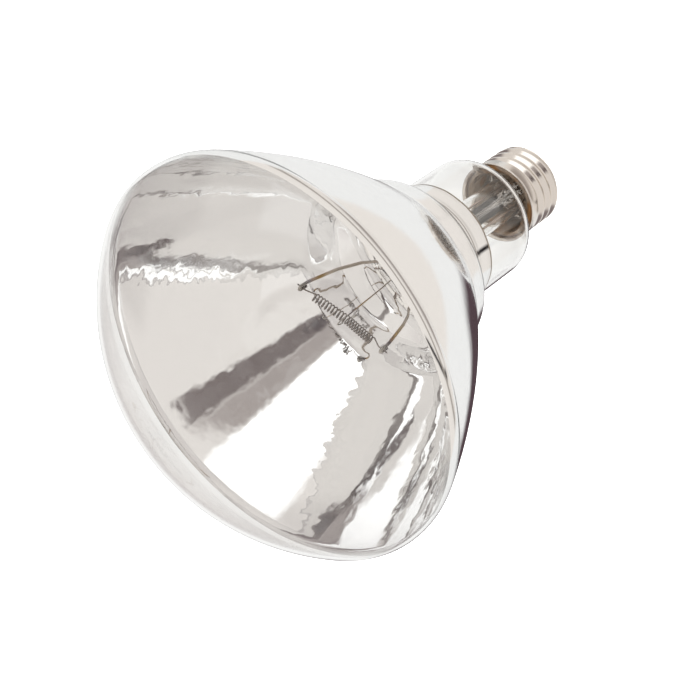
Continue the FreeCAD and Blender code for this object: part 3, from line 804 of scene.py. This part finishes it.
class LAMP_OT_wires(Operator):
    """Bend the leads, the support and the sealing wires, and wind the filament"""

    bl_idname = "lamp.wires"
    bl_label = "Leads and filament"

    def lead(self, w, s, side, reach, bend, bend_height):
        """An inner lead: up out of the press, one bend, and a hairpin over the filament's end."""
        limb = w.clamp_gap / 2 + w.inner_radius
        top = w.height + w.inner_radius
        low = w.height - w.clamp_tail
        foot = side * w.spacing / 2
        points = [
            (foot, 0, s.press_top - w.grip),
            (foot, 0, s.press_top + w.grip),
            (side * bend, 0, bend_height),
            (side * reach, -limb, low),
            (side * reach, -limb, top),
            (side * reach, 0, top + limb),
            (side * reach, limb, top),
            (side * reach, limb, low),
        ]
        return tube(bent(points, w.bend_round), w.inner_radius, LEAD_SIDES)

    def winding(self, w, start, end, turns):
        """One wound run: a point that moves evenly from start to end, plus a circle of the coil's radius."""
        start, end = np.array(start), np.array(end)
        share = np.arange(turns * w.steps)[:, None] / (turns * w.steps)
        across = np.array([0.0, 1.0, 0.0])
        beside = np.cross(unit(end - start), across)
        angle = 2 * math.pi * turns * share
        circle = across * np.sin(angle) + beside * np.cos(angle)
        return start + (end - start) * share + w.coil_radius * circle

    def coil(self, w):
        """The filament: straight tails through both clamps and two wound runs that meet at the kink."""
        kink = (w.coil_kink, 0, w.height - w.coil_sag)
        path = np.vstack([
            (w.reach_a + w.tail, 0, w.height),
            (w.reach_a - w.tail, 0, w.height),
            self.winding(w, (w.coil_a, 0, w.height), kink, w.turns_a),
            self.winding(w, kink, (w.coil_b, 0, w.height), w.turns_b),
            (-w.reach_b + w.tail, 0, w.height),
            (-w.reach_b - w.tail, 0, w.height),
        ])
        return tube(path, w.filament_radius, FILAMENT_SIDES, (1.0, 1.0, 0.0))

    def execute(self, context):
        """Each wire is a round section carried along a path of straight runs with rounded corners."""
        w = context.scene.lamp_wires
        s = context.scene.lamp_stem
        b = context.scene.lamp_bulb
        c = context.scene.lamp_cap
        lead_a = self.lead(w, s, 1, w.reach_a, w.bend_a, w.bend_a_height)
        lead_b = self.lead(w, s, -1, w.reach_b, w.bend_b, w.bend_b_height)
        build("inner_lead_a_bent", *lead_a, ("nickel",), ("inner_lead_a",), "nickel_wire")
        build("inner_lead_b_bent", *lead_b, ("nickel",), ("inner_lead_b",), "nickel_wire")

        side = w.coil_radius + w.filament_radius + w.support_radius + w.hook_gap
        hook_top = w.height + w.hook_rise
        rest = w.height - w.coil_sag + w.coil_radius + w.filament_radius + w.support_radius
        support = tube(bent([
            (0, 0, s.press_top - w.grip),
            (0, 0, s.press_top + w.grip),
            (w.coil_kink, -side, w.height - w.coil_radius),
            (w.coil_kink, -side, hook_top - side),
            (w.coil_kink, -side / 2, hook_top),
            (w.coil_kink, 0, hook_top - side),
            (w.coil_kink, 0, rest + w.hook_gap),
        ], w.bend_round), w.support_radius, SUPPORT_SIDES)
        build("support_hook", *support, ("nickel",), ("support_wire",), "nickel_wire")
        build("wound_filament", *self.coil(w), ("tungsten",), ("filament",), "tungsten_wire")

        for name, sign in (("seal_wire_a", 1), ("seal_wire_b", -1)):
            x = sign * w.spacing / 2
            seal = tube([(x, 0, s.press_foot + w.grip), (x, 0, s.press_top - w.grip)], w.seal_radius)
            build(name + "_drawn", *seal, ("copper",), (name,), "copper_wire")

        gap = (b.mouth_radius + c.root - c.sheet) / 2
        low = b.mouth_height - s.flare_rim - w.outer_drop
        over = c.rim + w.outer_radius + c.rim_clearance
        to_shell = tube(bent([
            (w.spacing / 2, 0, s.press_foot + w.grip),
            (w.spacing / 2, 0, b.mouth_height),
            at_angle(c.solder_angle, s.radius, low),
            at_angle(c.solder_angle, gap, low),
            at_angle(c.solder_angle, gap, c.cement_top),
            at_angle(c.solder_angle, c.rim_reach, over),
            at_angle(c.solder_angle, c.lip_radius - c.sheet, over),
        ], w.outer_bend), w.outer_radius)
        build("outer_lead_a_drawn", *to_shell, ("copper",), ("outer_lead_a",), "copper_wire")
        to_contact = tube(bent([
            (-w.spacing / 2, 0, s.press_foot + w.grip),
            (-w.spacing / 2, 0, b.mouth_height),
            (0, 0, (c.contact_seat + s.exhaust_tip) / 2),
            (0, 0, c.contact_seat - c.contact_thickness),
        ], w.contact_bend), w.outer_radius)
        build("outer_lead_b_drawn", *to_contact, ("copper",), ("outer_lead_b",), "copper_wire")
        return {"FINISHED"}


class LAMP_OT_cap(Operator):
    """Roll the threaded shell and fit the insulator, contact, solder and cement"""

    bl_idname = "lamp.cap"
    bl_label = "Screw cap"

    def shell(self, c):
        """The sheet's section at every angle: between lip and mouth the radius is a cosine of the height over
        the pitch, less the angle, which makes the right-hand thread. It fades out under the plain band."""
        heights = np.linspace(c.band_foot, c.thread_foot, THREAD_ROWS)
        fade = np.minimum((c.band_foot - heights) / c.thread_fade, 1)
        middle, wave = (c.crest + c.root) / 2, (c.crest - c.root) / 2
        thread = middle + wave * np.cos(2 * math.pi * heights / c.pitch - even_turn(c.sides)[:, None])
        thread = thread * fade + c.crest * (1 - fade)
        bore = c.root - c.sheet
        above = np.array([
            (c.lip_radius, c.rim),
            (c.lip_radius - c.sheet * LIP_ROLL, c.rim - c.sheet),
            (c.crest, c.band_top),
        ])
        below = np.array([
            *((c.root - c.sheet * inward, c.thread_foot - c.sheet * down) for inward, down in FOOT_ROLL),
            (c.mouth, c.end),
            (c.mouth, c.end + c.sheet),
            (bore, c.thread_foot),
            (bore, c.band_foot - c.thread_fade),
            (c.crest - c.sheet, c.band_foot),
            (c.crest - c.sheet, c.band_top),
            (c.lip_radius - c.sheet, c.rim),
        ])
        radii = np.hstack([np.tile(above[:, 0], (c.sides, 1)), thread, np.tile(below[:, 0], (c.sides, 1))])
        points = swept(radii, np.concatenate([above[:, 1], heights, below[:, 1]]), c.sides)
        return points.reshape(-1, 3), [ring_quads(c.sides, radii.shape[1])]

    def execute(self, context):
        """The shell, and the round pieces in it as outlines turned round the axis; the solder is a quarter of
        an ellipse in outline."""
        c = context.scene.lamp_cap
        b = context.scene.lamp_bulb
        build("rolled_shell", *self.shell(c), ("cap",), ("screw_shell",), "cap_metal")
        margin = c.contact_radius + c.contact_margin
        step = c.mouth - c.seat_gap
        low_side = c.root - c.sheet - c.seat_gap
        high_side = c.crest - c.sheet - c.seat_gap
        outline = [
            (c.bore, c.contact_seat),
            (margin, c.contact_seat),
            (margin + c.contact_margin, c.contact_seat + c.contact_margin / 2),
            (step, c.end),
            (step, c.end + c.insulator_edge),
            (low_side, c.thread_foot + c.seat_gap),
            (low_side, c.insulator_top),
            (c.bore, c.insulator_top - c.insulator_dish),
        ]
        # cement dust covers the dished top, the last strip before the bore
        dusty = np.tile(np.arange(len(outline)) == len(outline) - 2, c.sides)
        build(
            "cap_glass", *spun(outline, c.sides), ("insulator", "cement"), ("base_insulator",),
            "black_glass", dusty,
        )
        face = c.contact_seat - c.contact_thickness
        contact = spun([
            (c.bore, face), (c.contact_radius - c.contact_thickness, face),
            (c.contact_radius - c.contact_thickness / 4, face + c.contact_thickness / 3),
            (c.contact_radius, c.contact_seat), (c.bore, c.contact_seat),
        ], c.sides)
        build("contact_disc", *contact, ("brass",), ("centre_contact",), "contact_brass")
        sine, cosine = quarter()
        swell = c.solder_flat + (c.solder_radius - c.solder_flat) * sine
        tip = spun(np.vstack([
            (POLE, 0), np.stack([swell, face * (1 - cosine)], axis=1), (c.bore, face),
            (c.bore, c.contact_seat), (POLE, c.contact_seat),
        ]), SMALL_SIDES)
        build("solder_tip", *tip, ("solder",), ("contact_solder",), "solder")
        drop = np.stack([np.maximum(c.side_solder * cosine, POLE), c.side_solder_height * sine], axis=1)
        points, groups = spun(np.vstack([(POLE, 0), drop]), SMALL_SIDES)
        points += np.array(at_angle(c.solder_angle, c.lip_radius - c.sheet / 2, c.rim))
        build("solder_drop", points, groups, ("solder",), ("shell_solder",), "solder")
        inside = b.mouth_radius + c.cement_gap
        cement = spun([
            (inside, c.cement_foot),
            (low_side, c.cement_foot),
            (low_side, c.band_foot),
            (high_side, c.band_foot + c.seat_gap),
            (high_side, c.cement_top),
            (inside, c.cement_top),
        ], c.sides)
        build("cement_ring", *cement, ("cement",), ("basing_cement",), "cement")
        return {"FINISHED"}


def between(tree, value, low, high, soft):
    """A mask that is one between two values, with soft edges."""
    rise = add_node(tree, "ShaderNodeMapRange", EASED, Value=value, i1=low - soft, i2=low + soft)
    fall = add_node(
        tree, "ShaderNodeMapRange", EASED, Value=value, i1=high - soft, i2=high + soft, i3=1.0, i4=0.0
    )
    both = add_node(tree, "ShaderNodeMath", {"operation": "MULTIPLY"}, i0=rise.outputs[0], i1=fall.outputs[0])
    return both.outputs[0]


def studio_room(s):
    """The room as light from all round: a pale wall with screens, flags and a stand. A direction's azimuth is
    the arctangent of Y over X, its elevation the arcsine of Z, and a panel is a mask over both."""
    world = bpy.data.worlds.new("Studio room")
    world.use_nodes = True
    tree = world.node_tree
    tree.nodes.clear()
    place = add_node(tree, "ShaderNodeTexCoord")
    facing = add_node(
        tree, "ShaderNodeVectorRotate", {"rotation_type": "Z_AXIS"}, Vector=place.outputs["Generated"],
        Angle=-s.room_turn,
    )
    split = add_node(tree, "ShaderNodeSeparateXYZ", Vector=facing.outputs[0])
    turn = add_node(
        tree, "ShaderNodeMath", {"operation": "ARCTAN2"}, i0=split.outputs["Y"], i1=split.outputs["X"]
    )
    rise = add_node(tree, "ShaderNodeMath", {"operation": "ARCSINE"}, i0=split.outputs["Z"])
    side = add_node(tree, "ShaderNodeMath", {"operation": "DEGREES"}, i0=turn.outputs[0]).outputs[0]
    height = add_node(tree, "ShaderNodeMath", {"operation": "DEGREES"}, i0=rise.outputs[0]).outputs[0]
    around = add_node(tree, "ShaderNodeMath", {"operation": "FLOORED_MODULO"}, i0=side, i1=360.0).outputs[0]
    # below the horizon lies the table, and behind a straight edge on it a white sheet
    ahead = add_node(
        tree, "ShaderNodeMath", {"operation": "DIVIDE"}, i0=split.outputs["X"], i1=split.outputs["Z"]
    )
    wall_end, table_start = HORIZON
    below = add_node(tree, "ShaderNodeMapRange", EASED, Value=height, i1=wall_end, i2=table_start)
    table_end, sheet_start = SHEET_EDGE
    behind = add_node(
        tree, "ShaderNodeMapRange", EASED, Value=ahead.outputs[0], i1=table_end, i2=sheet_start
    )
    ground = add_node(
        tree, "ShaderNodeMix", COLOURS, i0=behind.outputs[0], i6=linear(s.table), i7=linear(s.sheet)
    )
    colour_now = add_node(
        tree, "ShaderNodeMix", COLOURS, i0=below.outputs[0], i6=linear(s.room), i7=ground.outputs[2]
    ).outputs[2]
    for name, code, strength, left, right, low, high, soft, slant in ROOM_PANELS:
        angle = around if right > 180 else side
        middle = (left + right) / 2
        wide = between(tree, angle, left, right, soft)
        level = add_node(
            tree, "ShaderNodeMath", {"operation": "MULTIPLY_ADD"}, i0=angle, i1=-slant, i2=slant * middle
        )
        level = add_node(tree, "ShaderNodeMath", {"operation": "ADD"}, i0=level.outputs[0], i1=height)
        tall = between(tree, level.outputs[0], low, high, soft)
        mask = add_node(tree, "ShaderNodeMath", {"operation": "MULTIPLY", "label": name}, i0=wide, i1=tall)
        tint = [value * strength for value in linear(code)[:3]] + [1.0]
        mix = add_node(tree, "ShaderNodeMix", COLOURS, i0=mask.outputs[0], i6=colour_now, i7=tint)
        colour_now = mix.outputs[2]
    # only mirrored light meets the room: the eye itself, also through clear glass, meets the plain sheet
    path = add_node(tree, "ShaderNodeLightPath")
    mirrored = add_node(
        tree, "ShaderNodeMath", {"operation": "MINIMUM"}, i0=path.outputs["Glossy Depth"], i1=1.0
    )
    seen = add_node(tree, "ShaderNodeMix", COLOURS, i0=mirrored.outputs[0], i6=linear(s.sheet), i7=colour_now)
    room = add_node(tree, "ShaderNodeBackground", Color=seen.outputs[2], Strength=1.0)
    add_node(tree, "ShaderNodeOutputWorld", Surface=room.outputs[0])
    return world


def paper_floor(s):
    """A square of white paper under the lamp, kept out of the mirror and the glass."""
    x, y = s.floor_size / 2 * np.array([[-1, 1, 1, -1], [-1, -1, 1, 1]])
    mesh = bpy.data.meshes.new("floor")
    mesh.from_pydata(np.stack([x, y, np.full(4, -s.floor_drop)], axis=1).tolist(), [], [(0, 1, 2, 3)])
    # matt white paper with a light of its own: an even white all over
    material, tree = new_material("White paper floor")
    paper = add_node(tree, "ShaderNodeBsdfDiffuse", Color=linear(s.paper))
    glow = add_node(tree, "ShaderNodeEmission", Color=linear(s.paper), Strength=FLOOR_GLOW)
    both = add_node(tree, "ShaderNodeAddShader", i0=paper.outputs[0], i1=glow.outputs[0])
    add_node(tree, "ShaderNodeOutputMaterial", Surface=both.outputs[0])
    mesh.materials.append(material)
    return bpy.data.objects.new("floor", mesh)


def softbox(name, place, size, power):
    """A square soft light that faces the lamp."""
    light = bpy.data.lights.new(name, "AREA")
    light.size = size
    light.energy = power
    lamp = bpy.data.objects.new(name, light)
    lamp.location = place
    lamp.rotation_euler = (Vector(LIGHT_AIM) - Vector(place)).to_track_quat("-Z", "Y").to_euler()
    return lamp


def photo_camera(s):
    """The camera, turned so that it looks ahead with the picture's top upright."""
    eye = bpy.data.cameras.new("photo camera")
    eye.lens = s.lens
    eye.sensor_width = SENSOR_WIDTH
    camera = bpy.data.objects.new("photo camera", eye)
    ahead = Vector(s.ahead).normalized()
    right = ahead.cross(Vector(s.upright)).normalized()
    turn = Matrix((right, right.cross(ahead), -ahead)).transposed().to_4x4()
    camera.matrix_world = Matrix.Translation(Vector(s.eye)) @ turn
    return camera


class LAMP_OT_studio(Operator):
    """Lay the floor, hang the soft lights, paint the room and set the camera"""

    bl_idname = "lamp.studio"
    bl_label = "Studio"

    def execute(self, context):
        """The mirror and the glass show the room alone, without the floor and the lights."""
        scene = context.scene
        s = scene.lamp_studio
        floor, camera = paper_floor(s), photo_camera(s)
        for thing in (floor, *(softbox(*row) for row in SOFTBOXES)):
            thing.visible_glossy = False
            thing.visible_transmission = False
            scene.collection.objects.link(thing)
        scene.world = studio_room(s)
        scene.collection.objects.link(camera)
        scene.camera = camera
        scene.view_settings.view_transform = "Standard"
        for kind, count in BOUNCES.items():
            setattr(scene.cycles, kind, count)
        return {"FINISHED"}


class LAMP_PT_panel(Panel):
    """Sizes and steps of the lamp"""

    bl_idname = "LAMP_PT_panel"
    bl_label = "Heat lamp"
    bl_space_type = "VIEW_3D"
    bl_region_type = "UI"
    bl_category = "Heat lamp"

    def draw(self, context):
        """A button for each step, and a box for each group of settings."""
        for step in STEPS:
            self.layout.operator(step.bl_idname)
        for name in GROUPS:
            group = getattr(context.scene, name)
            box = self.layout.box()
            for key in group.bl_rna.properties.keys():
                if key not in ("rna_type", "name"):
                    box.prop(group, key)


GROUPS = {
    "lamp_bulb": BulbSizes, "lamp_stem": StemSizes, "lamp_wires": WireSizes, "lamp_cap": CapSizes,
    "lamp_finishes": Finishes, "lamp_studio": StudioLook,
}
STEPS = (LAMP_OT_envelope, LAMP_OT_stem, LAMP_OT_wires, LAMP_OT_cap, LAMP_OT_studio)
CLASSES = (*GROUPS.values(), *STEPS, LAMP_PT_panel)


def register():
    """Register the classes and hang the settings on the scene."""
    for item in CLASSES:
        bpy.utils.register_class(item)
    for name, group in GROUPS.items():
        setattr(bpy.types.Scene, name, PointerProperty(type=group))


def unregister():
    """Take the settings and classes away again."""
    for name in GROUPS:
        delattr(bpy.types.Scene, name)
    for item in reversed(CLASSES):
        bpy.utils.unregister_class(item)


def main():
    """Build the lamp and its studio."""
    register()
    bpy.ops.lamp.envelope()
    bpy.ops.lamp.stem()
    bpy.ops.lamp.wires()
    bpy.ops.lamp.cap()
    bpy.ops.lamp.studio()


if __name__ == "__main__":
    main()
